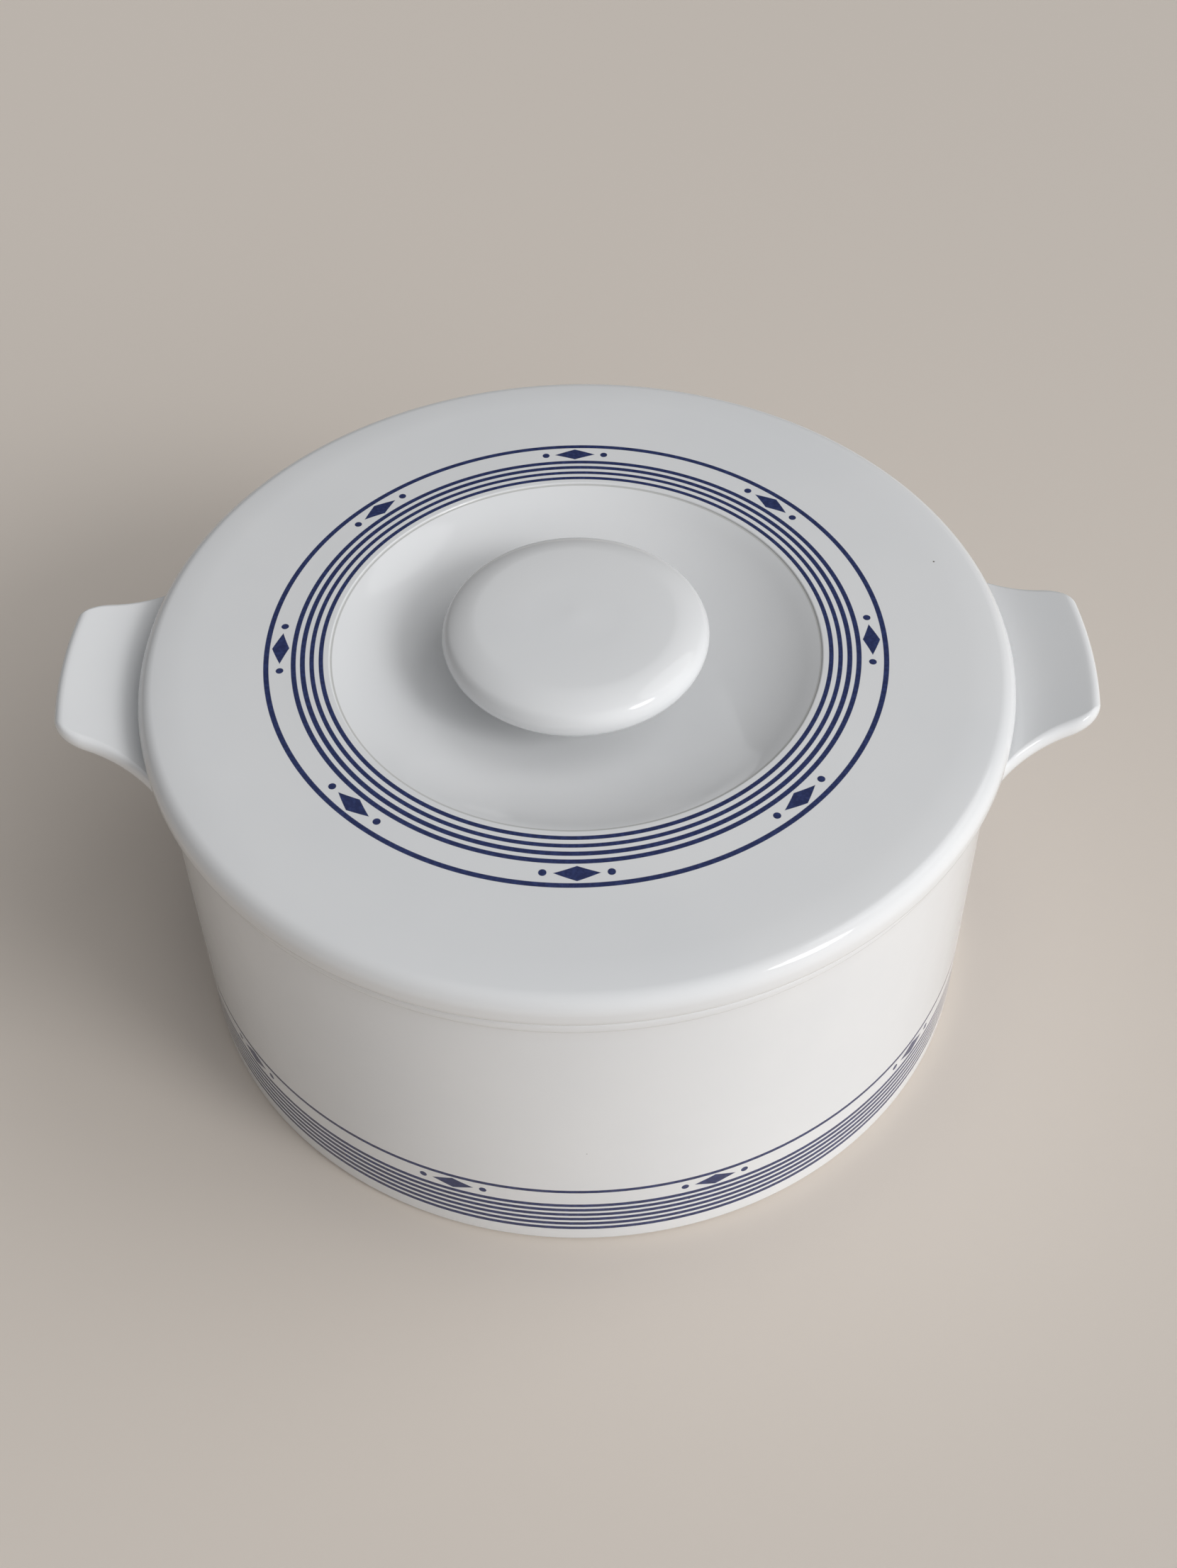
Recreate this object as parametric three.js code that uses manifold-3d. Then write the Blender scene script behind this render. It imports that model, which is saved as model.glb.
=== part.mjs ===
// Soup tureen with lid: a straight-sided porcelain bowl with two luted lug handles,
// and a flat-ringed lid with a dished well and a luted mushroom knob.
// Millimetres, +Z up. The origin is on the table under the bowl's axis, and the handles lie along X.
import * as THREE from 'three';
import { mergeVertices } from 'three/addons/utils/BufferGeometryUtils.js';
import Module from 'manifold-3d';

// Bowl
const BOWL_RADIUS = 105;
const BOWL_HEIGHT = 96.5;
const BOWL_WALL = 5;
const BOWL_FLOOR = 6;
const BASE_ROUND = 1.8;
const INSIDE_ROUND = 18;
const FOOT_WIDTH = 11;
const FOOT_DEPTH = 2.5;
const FOOT_ROUND = 1;

// Lip round the bowl's rim
const LIP_HEIGHT = 3.9;
const LIP_REACH = 1.25;
const LIP_ROUND = 1.4;
const RIM_ROUND = 1.5;

// Lug handles
const HANDLE_REACH = 24;
const HANDLE_ROOT_WIDTH = 86.8;
const HANDLE_ROOT_THICKNESS = 5.4;
const HANDLE_ROOT_DROP = 2.6;
const HANDLE_TIP_WIDTH = 47.8;
const HANDLE_TIP_THICKNESS = 5;
const HANDLE_TIP_RISE = 6.8;
const HANDLE_RISE_POWER = 0.75;
const HANDLE_CORNER = 6.8;

// Lid
const LID_OVERHANG = 2.15;
const LID_EDGE = 10;
const LID_TOP_ROUND = 5;
const LID_FOOT_ROUND = 3.5;
const LID_WALL = 5;
const RING_FALL = 1.2;
const WELL_RADIUS = 60.4;
const WELL_DEPTH = 12;
const WELL_SLOPE = THREE.MathUtils.degToRad(28);
const FLANGE_DEPTH = 7;
const FLANGE_WALL = 4.5;
const FLANGE_ROUND = 1.5;

// Knob
const KNOB_RADIUS = 32.9;
const KNOB_HEIGHT = 21.7;
const KNOB_EDGE = 10.6;
const KNOB_CROWN = 1;
const STEM_RADIUS = 12;
const STEM_FOOT = 3;
const STEM_ROUND = 4;

// Clearances
const LUTE_GAP = 0.3;
const SEAT_GAP = 0.3;
const FLANGE_CLEARANCE = 1.2;

// Fineness of the facets
const TURN_STEPS = 60;
const KNOB_STEPS = 40;
const CURVE_STEPS = 8;
const ROUND_STEPS = 3;
const FLARE_CROWDING = 1.5;
const ARC_STEP = THREE.MathUtils.degToRad(30);
const SAME_POINT = 1e-6;

// Radii and heights that follow from the sizes
const insideRadius = BOWL_RADIUS - BOWL_WALL;
const lipRadius = BOWL_RADIUS + LIP_REACH;
const lipFoot = BOWL_HEIGHT - LIP_HEIGHT;
const tipRadius = BOWL_RADIUS + HANDLE_REACH;
const seatHeight = BOWL_HEIGHT + SEAT_GAP;
const lidRadius = lipRadius + LID_OVERHANG;
const edgeHeight = seatHeight + LID_EDGE;
const creaseHeight = edgeHeight + RING_FALL;
const wellFloor = creaseHeight - WELL_DEPTH;
const stemSeat = STEM_RADIUS + STEM_FOOT;

const wasm = await Module();
wasm.setup();

// Adds a point to an outline unless it repeats the last one.
function append(points, point) {
  const last = points.at(-1);
  if (!last || last.distanceTo(point) > SAME_POINT) points.push(point);
}

// Turns corners into an outline. A corner is [radius, height, rounding], and a rounding becomes an arc
// that is limited by its share of the two sides that meet there.
function outline(corners) {
  const points = [];
  const side = (from, to) => new THREE.Vector2(to[0] - from[0], to[1] - from[1]);
  corners.forEach((corner, index) => {
    const spot = new THREE.Vector2(corner[0], corner[1]);
    const rounding = corner[2] ?? 0;
    if (rounding === 0) {
      append(points, spot);
      return;
    }
    const neighbours = [corners[index - 1], corners[index + 1]];
    const [before, after] = neighbours.map((other) => side(corner, other));
    const [roomBefore, roomAfter] = neighbours.map(
      (other) => (side(corner, other).length() * rounding) / (rounding + (other[2] ?? 0)),
    );
    const half = before.angleTo(after) / 2;
    const reach = Math.min(rounding / Math.tan(half), roomBefore, roomAfter);
    const arm = reach / Math.cos(half);
    const middle = before.normalize().clone().add(after.normalize()).normalize();
    const centre = spot.clone().addScaledVector(middle, arm);
    const start = spot.clone().addScaledVector(before, reach).sub(centre);
    const end = spot.clone().addScaledVector(after, reach).sub(centre);
    const turn = Math.atan2(start.cross(end), start.dot(end));
    const steps = Math.max(2, Math.ceil(Math.abs(turn) / ARC_STEP));
    for (let step = 0; step <= steps; step += 1) {
      const spoke = start.clone().rotateAround(new THREE.Vector2(), (turn * step) / steps);
      append(points, spoke.add(centre));
    }
  });
  return points;
}

// Corners along a bent line from one corner to another, drawn towards a third.
function bend(from, towards, to) {
  const [start, control, end] = [from, towards, to].map(([x, y]) => new THREE.Vector2(x, y));
  const curve = new THREE.QuadraticBezierCurve(start, control, end);
  return curve.getPoints(CURVE_STEPS).map((point) => [point.x, point.y]);
}

// Revolves an outline of radius and height about the Z axis.
function revolve(corners, steps) {
  return new THREE.LatheGeometry(outline(corners), steps).rotateX(Math.PI / 2);
}

// Joins rings of points into a closed skin, and closes both ends by zipping the end ring's halves together.
function loft(rings) {
  const count = rings[0].length;
  const index = [];
  const quad = (a, b, c, d) => index.push(a, b, c, a, c, d);
  for (let ring = 0; ring + 1 < rings.length; ring += 1) {
    const here = ring * count;
    for (let point = 0; point < count; point += 1) {
      const next = (point + 1) % count;
      quad(here + point, here + next, here + count + next, here + count + point);
    }
  }
  const last = (rings.length - 1) * count;
  for (let point = 0; point + 1 < count / 2; point += 1) {
    const mirror = count - 1 - point;
    quad(point, mirror, mirror - 1, point + 1);
    quad(last + point, last + point + 1, last + mirror - 1, last + mirror);
  }
  const geometry = new THREE.BufferGeometry().setFromPoints(rings.flat());
  geometry.setIndex(index);
  return geometry;
}

// Makes a solid that can be cut from a closed geometry.
function solid(geometry) {
  const bare = geometry.clone();
  bare.deleteAttribute('normal');
  bare.deleteAttribute('uv');
  const merged = mergeVertices(bare);
  return new wasm.Manifold(new wasm.Mesh({
    numProp: 3,
    vertProperties: new Float32Array(merged.attributes.position.array),
    triVerts: new Uint32Array(merged.index.array),
  }));
}

// Gives a cut solid back as a geometry.
function geometryOf(body) {
  const mesh = body.getMesh();
  const geometry = new THREE.BufferGeometry();
  geometry.setAttribute('position', new THREE.BufferAttribute(mesh.vertProperties, mesh.numProp));
  geometry.setIndex(new THREE.BufferAttribute(mesh.triVerts, 1));
  return geometry;
}

// Corners of the step from the bowl's wall out to its lip, moved out by a gap.
function lipStep(gap) {
  return [
    [BOWL_RADIUS + gap, lipFoot - LIP_REACH / 2, LIP_ROUND],
    [lipRadius + gap, lipFoot + LIP_REACH / 2, LIP_ROUND],
  ];
}

// Bowl: recessed base inside a foot ring, straight wall, lip that carries the lid, rounded inside corner.
function bowlGeometry() {
  const footRadius = BOWL_RADIUS - FOOT_WIDTH;
  const floorHeight = FOOT_DEPTH + BOWL_FLOOR;
  return revolve([
    [0, FOOT_DEPTH],
    [footRadius - FOOT_DEPTH, FOOT_DEPTH, FOOT_ROUND],
    [footRadius, 0, FOOT_ROUND],
    [BOWL_RADIUS, 0, BASE_ROUND],
    ...lipStep(0),
    [lipRadius, BOWL_HEIGHT, LIP_ROUND],
    [insideRadius, BOWL_HEIGHT, RIM_ROUND],
    [insideRadius, floorHeight, INSIDE_ROUND],
    [0, floorHeight],
  ], TURN_STEPS);
}

// Half of a handle's width at a distance from the bowl's axis: its sides flare until they run along the lip,
// and its tip has round corners.
function handleHalfWidth(radius) {
  const inward = Math.min(1, (tipRadius - radius) / (tipRadius - lipRadius));
  const flare = ((HANDLE_ROOT_WIDTH - HANDLE_TIP_WIDTH) / 2) * (1 - Math.sqrt(1 - inward ** 2));
  const past = Math.max(0, radius - tipRadius + HANDLE_CORNER);
  const inset = HANDLE_CORNER - Math.sqrt(HANDLE_CORNER ** 2 - past ** 2);
  return HANDLE_TIP_WIDTH / 2 + flare - inset;
}

// One section of a handle, lying on a cylinder about the bowl's axis: a bar with round sides,
// whose middle starts below the rim and rises from the lip to the tip, faster at first.
function handleSection(radius, halfThickness) {
  const outward = Math.max(0, (radius - lipRadius) / (tipRadius - lipRadius));
  const middle = BOWL_HEIGHT - HANDLE_ROOT_DROP + HANDLE_TIP_RISE * outward ** HANDLE_RISE_POWER;
  const halfFlat = handleHalfWidth(radius) - halfThickness;
  const upper = [];
  for (let step = 0; step < ROUND_STEPS; step += 1) {
    const angle = (Math.PI / 2) * ((step + 0.5) / ROUND_STEPS);
    upper.push([halfFlat + halfThickness * Math.cos(angle), halfThickness * Math.sin(angle)]);
  }
  for (let step = 0; step <= CURVE_STEPS; step += 1) {
    upper.push([halfFlat * (1 - (2 * step) / CURVE_STEPS), halfThickness]);
  }
  for (let step = ROUND_STEPS - 1; step >= 0; step -= 1) {
    upper.push([-upper[step][0], upper[step][1]]);
  }
  const lower = upper.map(([along, up]) => [along, -up]).reverse();
  return [...upper, ...lower].map(([along, up]) => {
    const angle = along / radius;
    return new THREE.Vector3(radius * Math.cos(angle), radius * Math.sin(angle), middle + up);
  });
}

// Handle: a rising lug lofted from inside the wall to its round tip, then cut to the bowl's outside.
function handleGeometry() {
  const rootRound = HANDLE_ROOT_THICKNESS / 2;
  const tipRound = HANDLE_TIP_THICKNESS / 2;
  const bladeEnd = tipRadius - tipRound;
  const rings = [handleSection(BOWL_RADIUS - BOWL_WALL / 2, rootRound)];
  for (let step = 0; step <= CURVE_STEPS; step += 1) {
    const share = (step / CURVE_STEPS) ** FLARE_CROWDING;
    const halfThickness = THREE.MathUtils.lerp(rootRound, tipRound, share);
    rings.push(handleSection(THREE.MathUtils.lerp(lipRadius, bladeEnd, share), halfThickness));
  }
  for (let step = 0; step < ROUND_STEPS; step += 1) {
    const angle = (Math.PI / 2) * ((step + 0.5) / ROUND_STEPS);
    rings.push(handleSection(bladeEnd + tipRound * Math.sin(angle), tipRound * Math.cos(angle)));
  }
  const handleTop = BOWL_HEIGHT + HANDLE_TIP_RISE;
  const bowlSpace = revolve([
    [insideRadius, 0],
    [BOWL_RADIUS + LUTE_GAP, 0],
    ...lipStep(LUTE_GAP),
    [lipRadius + LUTE_GAP, handleTop],
    [insideRadius, handleTop],
    [insideRadius, 0],
  ], TURN_STEPS);
  return geometryOf(solid(loft(rings)).subtract(solid(bowlSpace)));
}

// Curve of the lid's well, from its flat middle up to the crease, lowered by a depth.
function wellCurve(lowered) {
  const floor = wellFloor - lowered;
  const reach = WELL_DEPTH / Math.tan(WELL_SLOPE);
  return bend([stemSeat, floor], [WELL_RADIUS - reach, floor], [WELL_RADIUS, creaseHeight - lowered]);
}

// Lid: dished well, falling ring, round edge, seat on the bowl's rim and a flange inside it.
function lidGeometry() {
  const flangeOutside = insideRadius - FLANGE_CLEARANCE;
  const flangeInside = flangeOutside - FLANGE_WALL;
  const flangeFoot = seatHeight - FLANGE_DEPTH;
  return revolve([
    [0, wellFloor - LID_WALL],
    ...wellCurve(LID_WALL),
    [flangeInside, edgeHeight - LID_WALL, FLANGE_ROUND],
    [flangeInside, flangeFoot, FLANGE_ROUND],
    [flangeOutside, flangeFoot, FLANGE_ROUND],
    [flangeOutside, seatHeight],
    [lidRadius, seatHeight, LID_FOOT_ROUND],
    [lidRadius, edgeHeight, LID_TOP_ROUND],
    ...wellCurve(0).reverse(),
    [0, wellFloor],
  ], TURN_STEPS);
}

// Knob: a stem with a splayed foot in the lid's well, and a round-edged cap with a low crown.
function knobGeometry() {
  const base = wellFloor + LUTE_GAP;
  const crown = base + KNOB_HEIGHT;
  const capTop = crown - KNOB_CROWN;
  const capFoot = capTop - KNOB_EDGE;
  const capFlat = KNOB_RADIUS - KNOB_EDGE / 2;
  return revolve([
    [0, base],
    [stemSeat, base],
    [STEM_RADIUS, base + STEM_FOOT],
    [STEM_RADIUS, capFoot, STEM_ROUND],
    [KNOB_RADIUS, capFoot, KNOB_EDGE / 2],
    [KNOB_RADIUS, capTop, KNOB_EDGE / 2],
    ...bend([capFlat, capTop], [capFlat / 2, crown], [0, crown]),
  ], KNOB_STEPS);
}

// A named piece in glazed porcelain.
function piece(name, geometry, colour) {
  const material = new THREE.MeshStandardMaterial({ color: colour, roughness: 0.12, metalness: 0 });
  const mesh = new THREE.Mesh(geometry, material);
  mesh.name = name;
  return mesh;
}

const tureen = new THREE.Group();
tureen.add(piece('tureen_bowl', bowlGeometry(), 0xe8ebee));
const handles = { right_handle: 0, left_handle: Math.PI };
for (const [name, turn] of Object.entries(handles)) {
  const handle = piece(name, handleGeometry(), 0xe8ebee);
  handle.rotation.z = turn;
  tureen.add(handle);
}
const cover = new THREE.Group();
cover.add(piece('lid', lidGeometry(), 0xeaedef));
cover.add(piece('lid_knob', knobGeometry(), 0xeaedef));
tureen.add(cover);

export default tureen;
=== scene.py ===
"""Looks of a soup tureen with lid: white glazed porcelain with printed blue lines.

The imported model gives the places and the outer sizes. Each of its solids is replaced by a smooth piece
that rides on the same body. Lengths in the classes are millimetres, and the meshes are in metres.
"""

import logging
import math
from dataclasses import dataclass
from enum import Enum
from typing import ClassVar

import bmesh
import bpy
from mathutils import Matrix, Vector


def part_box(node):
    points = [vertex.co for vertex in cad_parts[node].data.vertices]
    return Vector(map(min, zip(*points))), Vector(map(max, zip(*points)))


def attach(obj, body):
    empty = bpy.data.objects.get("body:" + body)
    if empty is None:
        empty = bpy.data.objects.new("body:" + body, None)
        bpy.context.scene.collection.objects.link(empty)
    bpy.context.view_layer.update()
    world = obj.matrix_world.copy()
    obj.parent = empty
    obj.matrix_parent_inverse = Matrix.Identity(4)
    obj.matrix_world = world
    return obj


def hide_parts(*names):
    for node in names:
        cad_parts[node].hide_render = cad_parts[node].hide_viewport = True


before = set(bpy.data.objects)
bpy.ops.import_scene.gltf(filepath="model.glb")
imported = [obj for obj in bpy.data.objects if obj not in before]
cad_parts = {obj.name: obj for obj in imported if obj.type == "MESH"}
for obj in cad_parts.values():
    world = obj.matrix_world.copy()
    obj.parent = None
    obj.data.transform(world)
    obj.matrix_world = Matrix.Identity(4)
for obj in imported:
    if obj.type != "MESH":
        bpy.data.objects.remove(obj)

LOG = logging.getLogger("tureen")
MM = 0.001
FULL_TURN = 2.0 * math.pi
MERGE = 1e-6

# Name of the flat map that each turned piece is laid out in.
BAKE_MAP = "OFBake"

Colour = tuple[float, float, float]
Place = tuple[float, float, float]
Span = tuple[float, float]
Source = float | Colour | bpy.types.NodeSocket


class Body(Enum):
    """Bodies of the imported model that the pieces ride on."""

    TUREEN = "tureen"
    COVER = "cover"


class Slot(Enum):
    """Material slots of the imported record."""

    BOWL = "bowl_glaze"
    LID = "lid_glaze"


class Side(Enum):
    """Sides of the bowl that carry a handle, as turns about its axis."""

    RIGHT = 0.0
    LEFT = math.pi


class Run(Enum):
    """The measure along which printed lines are counted."""

    RADIUS = "Radius"
    HEIGHT = "Height"


class Wiring:
    """Adds shader nodes to one tree and joins them."""

    def __init__(self, tree: bpy.types.NodeTree) -> None:
        """Keeps the tree that the nodes go into."""
        self.tree = tree

    def add(self, kind: str, **settings: object) -> bpy.types.Node:
        """Adds a node.

        Args:
            kind: Blender's name for the type of node.
            settings: properties of the node.

        Returns:
            The new node.
        """
        node = self.tree.nodes.new(kind)
        for key, value in settings.items():
            setattr(node, key, value)
        return node

    def feed(self, socket: bpy.types.NodeSocket, source: Source) -> None:
        """Links an input to an output, or sets its own value.

        Args:
            socket: the input.
            source: an output, a number, or a colour.
        """
        if isinstance(source, bpy.types.NodeSocket):
            self.tree.links.new(source, socket)
        elif socket.type == "RGBA":
            socket.default_value = (*source, 1.0)
        else:
            socket.default_value = source

    def math(self, operation: str, *sources: Source) -> bpy.types.NodeSocket:
        """Adds a Math node.

        Args:
            operation: what the node does.
            sources: its inputs, in order.

        Returns:
            The node's output.
        """
        node = self.add("ShaderNodeMath", operation=operation)
        for socket, source in zip(node.inputs, sources):
            self.feed(socket, source)
        return node.outputs[0]

    def most(self, masks: list[bpy.types.NodeSocket]) -> Source:
        """Joins masks into the strongest of them.

        Args:
            masks: outputs from 0 to 1, or none.

        Returns:
            An output, or 0 where there are no masks.
        """
        if not masks:
            return 0.0
        joined = masks[0]
        for mask in masks[1:]:
            joined = self.math("MAXIMUM", joined, mask)
        return joined

    def step(self, value: Source, low: Source, high: Source) -> bpy.types.NodeSocket:
        """Adds a soft step from 0 at low to 1 at high.

        Args:
            value: what is compared.
            low: where the step starts.
            high: where the step ends.

        Returns:
            The step's output.
        """
        node = self.add("ShaderNodeMapRange", interpolation_type="SMOOTHSTEP")
        for name, source in zip(("Value", "From Min", "From Max"), (value, low, high)):
            self.feed(node.inputs[name], source)
        return node.outputs["Result"]

    def blend_colours(self, share: Source, first: Source, second: Source) -> bpy.types.NodeSocket:
        """Mixes two colours.

        Args:
            share: how much of the second colour shows.
            first: the colour at 0.
            second: the colour at 1.

        Returns:
            The mixed colour's output.
        """
        # A Mix node has sockets for each type of data, so those for colours are picked by number.
        node = self.add("ShaderNodeMix", data_type="RGBA")
        for index, source in zip((0, 6, 7), (share, first, second)):
            self.feed(node.inputs[index], source)
        return node.outputs[2]

    def blend_values(self, share: Source, first: Source, second: Source) -> bpy.types.NodeSocket:
        """Mixes two numbers.

        Args:
            share: how much of the second number counts.
            first: the number at 0.
            second: the number at 1.

        Returns:
            The mixed number's output.
        """
        # The sockets for plain numbers are picked by number too.
        node = self.add("ShaderNodeMix", data_type="FLOAT")
        for index, source in zip((0, 2, 3), (share, first, second)):
            self.feed(node.inputs[index], source)
        return node.outputs[0]

    def noise(self, position: Source, scale: Source, detail: float) -> bpy.types.NodeSocket:
        """Adds a Noise Texture node.

        Args:
            position: where the noise is read.
            scale: how fine it is.
            detail: how many finer layers it has.

        Returns:
            The noise's output, from 0 to 1.
        """
        node = self.add("ShaderNodeTexNoise")
        for name, source in zip(("Vector", "Scale", "Detail"), (position, scale, detail)):
            self.feed(node.inputs[name], source)
        return node.outputs["Fac"]

    def effect(self, effect: type["Effect"], **sources: Source) -> bpy.types.NodeOutputs:
        """Places a shared effect.

        Args:
            effect: the effect's class.
            sources: its inputs by name.

        Returns:
            The outputs of the placed group.
        """
        node = self.add("ShaderNodeGroup", node_tree=effect.tree())
        for name, source in sources.items():
            self.feed(node.inputs[name], source)
        return node.outputs


class Effect:
    """A shader effect that several finishes share, kept as one node group."""

    name: ClassVar[str] = ""
    takes: ClassVar[dict[str, str]] = {}
    gives: ClassVar[tuple[str, ...]] = ()

    @classmethod
    def draw(cls, wiring: Wiring, given: bpy.types.NodeOutputs) -> tuple[Source, ...]:
        """Lays out the group's nodes.

        Args:
            wiring: helper on the group's tree.
            given: the group's inputs.

        Returns:
            What the group puts out, in the order of gives.
        """
        raise NotImplementedError

    @classmethod
    def tree(cls) -> bpy.types.NodeTree:
        """Builds the group once.

        Returns:
            The group's node tree.
        """
        known = bpy.data.node_groups.get(cls.name)
        if known:
            return known
        tree = bpy.data.node_groups.new(cls.name, "ShaderNodeTree")
        for name, kind in cls.takes.items():
            tree.interface.new_socket(name=name, in_out="INPUT", socket_type=kind)
        for name in cls.gives:
            tree.interface.new_socket(name=name, in_out="OUTPUT", socket_type="NodeSocketFloat")
        wiring = Wiring(tree)
        given = wiring.add("NodeGroupInput").outputs
        wanted = wiring.add("NodeGroupOutput").inputs
        for socket, source in zip(wanted, cls.draw(wiring, given)):
            wiring.feed(socket, source)
        return tree


class PolarPlace(Effect):
    """Where a point lies round the bowl's axis, in millimetres and radians."""

    name = "polar_place"
    takes = {"Position": "NodeSocketVector"}
    gives = ("Radius", "Angle", "Height")

    @classmethod
    def draw(cls, wiring: Wiring, given: bpy.types.NodeOutputs) -> tuple[Source, ...]:
        """Turns x, y and z into radius, angle and height.

        Args:
            wiring: helper on the group's tree.
            given: the group's inputs.

        Returns:
            The radius, the angle and the height.
        """
        parts = wiring.add("ShaderNodeSeparateXYZ")
        wiring.feed(parts.inputs[0], given["Position"])
        x, y, z = parts.outputs
        squares = wiring.math("ADD", wiring.math("MULTIPLY", x, x), wiring.math("MULTIPLY", y, y))
        radius = wiring.math("DIVIDE", wiring.math("SQRT", squares), MM)
        return radius, wiring.math("ARCTAN2", y, x), wiring.math("DIVIDE", z, MM)


class PrintedRings(Effect):
    """Lines of one width at even distances."""

    name = "printed_rings"
    takes = dict.fromkeys(("Distance", "First", "Pitch", "Count", "Width", "Edge"), "NodeSocketFloat")
    gives = ("Mask",)

    @classmethod
    def draw(cls, wiring: Wiring, given: bpy.types.NodeOutputs) -> tuple[Source, ...]:
        """Measures how far a point is from its nearest line.

        Args:
            wiring: helper on the group's tree.
            given: the group's inputs.

        Returns:
            The mask of the lines.
        """
        past = wiring.math("SUBTRACT", given["Distance"], given["First"])
        nearest = wiring.math("ROUND", wiring.math("DIVIDE", past, given["Pitch"]))
        last = wiring.math("SUBTRACT", given["Count"], 1.0)
        line = wiring.math("MAXIMUM", wiring.math("MINIMUM", nearest, last), 0.0)
        gap = wiring.math("SUBTRACT", past, wiring.math("MULTIPLY", line, given["Pitch"]))
        half = wiring.math("MULTIPLY", given["Width"], 0.5)
        inside = wiring.math("SUBTRACT", half, wiring.math("ABSOLUTE", gap))
        below = wiring.math("MULTIPLY", given["Edge"], -1.0)
        return (wiring.step(inside, below, given["Edge"]),)


class PrintedMotif(Effect):
    """A row of lozenges, each between two dots, at even turns round the axis."""

    name = "printed_motif"
    takes = dict.fromkeys(
        ("Angle", "Arc", "Across", "Count", "Reach", "Breadth", "Dot", "Apart", "Edge"),
        "NodeSocketFloat",
    )
    gives = ("Mask",)

    @classmethod
    def draw(cls, wiring: Wiring, given: bpy.types.NodeOutputs) -> tuple[Source, ...]:
        """Measures how far a point is inside its nearest lozenge or dot.

        Args:
            wiring: helper on the group's tree.
            given: the group's inputs.

        Returns:
            The mask of the lozenges and dots.
        """
        turns = wiring.math("DIVIDE", wiring.math("MULTIPLY", given["Angle"], given["Count"]), FULL_TURN)
        share = wiring.math("SUBTRACT", turns, wiring.math("ROUND", turns))
        sector = wiring.math("DIVIDE", wiring.math("MULTIPLY", given["Arc"], FULL_TURN), given["Count"])
        along = wiring.math("ABSOLUTE", wiring.math("MULTIPLY", share, sector))
        across = wiring.math("ABSOLUTE", given["Across"])
        slant = wiring.math(
            "ADD",
            wiring.math("DIVIDE", along, given["Reach"]),
            wiring.math("DIVIDE", across, given["Breadth"]),
        )
        lozenge = wiring.math("MULTIPLY", wiring.math("SUBTRACT", 1.0, slant), given["Breadth"])
        beside = wiring.math("SUBTRACT", along, given["Apart"])
        squares = wiring.math(
            "ADD",
            wiring.math("MULTIPLY", beside, beside),
            wiring.math("MULTIPLY", across, across),
        )
        dot = wiring.math("SUBTRACT", given["Dot"], wiring.math("SQRT", squares))
        inside = wiring.math("MAXIMUM", lozenge, dot)
        below = wiring.math("MULTIPLY", given["Edge"], -1.0)
        return (wiring.step(inside, below, given["Edge"]),)


class Zone(Effect):
    """A band of a measure, with soft edges."""

    name = "zone"
    takes = dict.fromkeys(("Value", "Low", "High", "Edge"), "NodeSocketFloat")
    gives = ("Mask",)

    @classmethod
    def draw(cls, wiring: Wiring, given: bpy.types.NodeOutputs) -> tuple[Source, ...]:
        """Steps up at the low end and down at the high end.

        Args:
            wiring: helper on the group's tree.
            given: the group's inputs.

        Returns:
            The band's mask.
        """
        starts = wiring.math("SUBTRACT", given["Low"], given["Edge"])
        ends = wiring.math("ADD", given["High"], given["Edge"])
        rise = wiring.step(given["Value"], starts, given["Low"])
        fall = wiring.step(given["Value"], given["High"], ends)
        return (wiring.math("MULTIPLY", rise, wiring.math("SUBTRACT", 1.0, fall)),)


class GlazeSkin(Effect):
    """Unevenness of a fired glaze: clouding, a faint ripple and rare iron specks."""

    name = "glaze_skin"
    takes = {"Position": "NodeSocketVector", "Clouds": "NodeSocketFloat", "Ripples": "NodeSocketFloat"}
    gives = ("Cloud", "Ripple", "Speck")
    cloud_detail: ClassVar[float] = 3.0
    cloud_edge: ClassVar[Span] = (0.3, 0.7)
    ripple_detail: ClassVar[float] = 1.0
    speck_scale: ClassVar[float] = 55.0
    speck_edge: ClassVar[Span] = (0.008, 0.02)

    @classmethod
    def draw(cls, wiring: Wiring, given: bpy.types.NodeOutputs) -> tuple[Source, ...]:
        """Draws two noises and a field of points.

        Args:
            wiring: helper on the group's tree.
            given: the group's inputs.

        Returns:
            The clouding, the ripple and the mask of the specks.
        """
        position = given["Position"]
        cloud = wiring.noise(position, given["Clouds"], cls.cloud_detail)
        ripple = wiring.noise(position, given["Ripples"], cls.ripple_detail)
        points = wiring.add("ShaderNodeTexVoronoi")
        wiring.feed(points.inputs["Vector"], position)
        wiring.feed(points.inputs["Scale"], cls.speck_scale)
        around = wiring.step(points.outputs["Distance"], *cls.speck_edge)
        return wiring.step(cloud, *cls.cloud_edge), ripple, wiring.math("SUBTRACT", 1.0, around)


class InkDensity(Effect):
    """How thick a printed colour lies, from thin to full."""

    name = "ink_density"
    takes = {"Position": "NodeSocketVector", "Grain": "NodeSocketFloat"}
    gives = ("Density",)
    detail: ClassVar[float] = 4.0
    edge: ClassVar[Span] = (0.25, 0.62)

    @classmethod
    def draw(cls, wiring: Wiring, given: bpy.types.NodeOutputs) -> tuple[Source, ...]:
        """Draws one fine noise.

        Args:
            wiring: helper on the group's tree.
            given: the group's inputs.

        Returns:
            How thick the colour lies, from 0 to 1.
        """
        grain = wiring.noise(given["Position"], given["Grain"], cls.detail)
        return (wiring.step(grain, *cls.edge),)


@dataclass(frozen=True)
class RingSet:
    """Printed lines side by side, or one alone."""

    first: float
    width: float
    count: int = 1
    pitch: float = 1.0


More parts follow.
